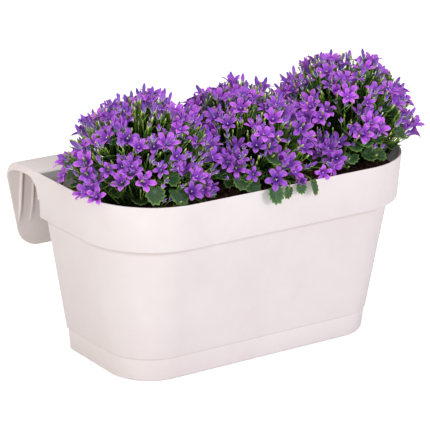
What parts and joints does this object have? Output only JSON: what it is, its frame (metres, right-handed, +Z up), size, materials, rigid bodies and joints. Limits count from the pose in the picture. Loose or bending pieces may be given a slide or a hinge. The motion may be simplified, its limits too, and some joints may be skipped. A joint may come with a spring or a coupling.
{
  "type": "potted bellflower",
  "caption": "Trailing bellflower plants in bloom in a long balcony planter that has hooks for a railing.",
  "frame": {"origin": "middle of the flat underside of the planter's foot, at mount base", "axes": "+X along the planter, -Y towards its rounded front, +Y towards the railing hooks, +Z up"},
  "size_m": [0.5208, 0.3054, 0.363],
  "materials": {
    "planter_plastic": "satin, moulded, warm off-white",
    "potting_soil": "loose damp peat, dark brown, no gloss",
    "leaf_green": "living leaves and stems, dark green with a faint sheen",
    "bell_violet": "thin soft petals, violet"
  },
  "bodies": {
    "root": {"left_plant_foliage": "leaf_green", "left_plant_spray_01": "bell_violet", "left_plant_spray_02": "bell_violet", "left_plant_spray_03": "bell_violet", "left_plant_spray_04": "bell_violet", "left_plant_spray_05": "bell_violet", "left_plant_spray_06": "bell_violet", "left_plant_spray_07": "bell_violet", "left_plant_spray_08": "bell_violet", "left_plant_spray_09": "bell_violet", "left_plant_spray_10": "bell_violet", "left_plant_spray_11": "bell_violet", "left_plant_spray_12": "bell_violet", "left_plant_spray_13": "bell_violet", "left_plant_spray_14": "bell_violet", "left_plant_spray_15": "bell_violet", "left_plant_spray_16": "bell_violet", "left_plant_spray_17": "bell_violet", "middle_plant_foliage": "leaf_green", "middle_plant_spray_01": "bell_violet", "middle_plant_spray_02": "bell_violet", "middle_plant_spray_03": "bell_violet", "middle_plant_spray_04": "bell_violet", "middle_plant_spray_05": "bell_violet", "middle_plant_spray_06": "bell_violet", "middle_plant_spray_07": "bell_violet", "middle_plant_spray_08": "bell_violet", "middle_plant_spray_09": "bell_violet", "middle_plant_spray_10": "bell_violet", "middle_plant_spray_11": "bell_violet", "middle_plant_spray_12": "bell_violet", "middle_plant_spray_13": "bell_violet", "middle_plant_spray_14": "bell_violet", "middle_plant_spray_15": "bell_violet", "middle_plant_spray_16": "bell_violet", "middle_plant_spray_17": "bell_violet", "planter": "planter_plastic", "potting_soil": "potting_soil", "right_plant_foliage": "leaf_green", "right_plant_spray_01": "bell_violet", "right_plant_spray_02": "bell_violet", "right_plant_spray_03": "bell_violet", "right_plant_spray_04": "bell_violet", "right_plant_spray_05": "bell_violet", "right_plant_spray_06": "bell_violet", "right_plant_spray_07": "bell_violet", "right_plant_spray_08": "bell_violet", "right_plant_spray_09": "bell_violet", "right_plant_spray_10": "bell_violet", "right_plant_spray_11": "bell_violet", "right_plant_spray_12": "bell_violet", "right_plant_spray_13": "bell_violet", "right_plant_spray_14": "bell_violet", "right_plant_spray_15": "bell_violet", "right_plant_spray_16": "bell_violet", "right_plant_spray_17": "bell_violet"}
  },
  "joints": []
}
